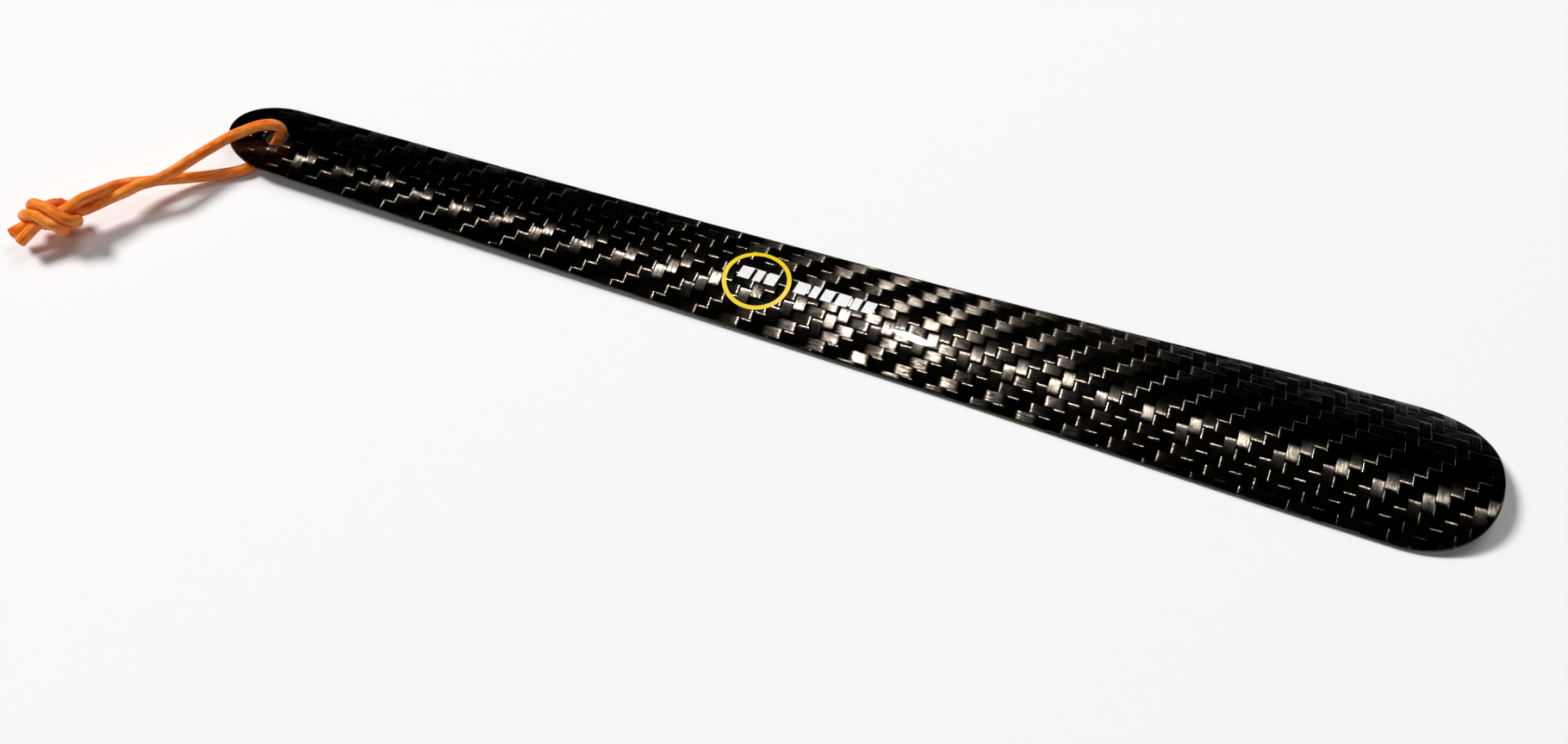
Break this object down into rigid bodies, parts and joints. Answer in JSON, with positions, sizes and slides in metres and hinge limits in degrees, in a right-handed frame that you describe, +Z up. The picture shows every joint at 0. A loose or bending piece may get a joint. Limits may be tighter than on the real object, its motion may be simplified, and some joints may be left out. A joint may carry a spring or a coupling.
{
  "type": "long shoehorn",
  "caption": "Slim arched long shoehorn of glossy twill carbon-fibre laminate, hung by a knotted round leather cord through a hole in its handle.",
  "frame": {"origin": "below the middle of the blade, on the surface it rests on", "axes": "+X along the blade towards the shoe end, +Y across it, +Z up out of its rounded back"},
  "size_m": [0.3935, 0.0784, 0.0124],
  "materials": {
    "carbon_laminate": "clear-lacquered black twill carbon fibre, high gloss",
    "yellow_print": "yellow ink under clear lacquer",
    "white_print": "white ink under clear lacquer",
    "tan_leather": "satin tan round leather cord"
  },
  "bodies": {
    "shoehorn": {"blade": "carbon_laminate", "printed_ring": "yellow_print", "printed_bar_1": "white_print", "printed_bar_2": "white_print", "printed_bar_3": "white_print", "printed_bar_4": "white_print", "printed_bar_5": "white_print", "printed_bar_6": "white_print", "printed_bar_7": "white_print", "printed_bar_8": "white_print", "printed_bar_9": "white_print"},
    "lanyard": {"cord_upper_strand": "tan_leather", "cord_lower_strand": "tan_leather", "cord_knot": "tan_leather", "cord_short_tail": "tan_leather", "cord_long_tail": "tan_leather"}
  },
  "joints": [
    {"name": "lanyard_swing", "type": "hinge", "parent": "shoehorn", "child": "lanyard", "pos_m": [-0.16325, 0, 0.005], "axis": [0, 0, 1], "range_deg": [-135, 40]}
  ]
}
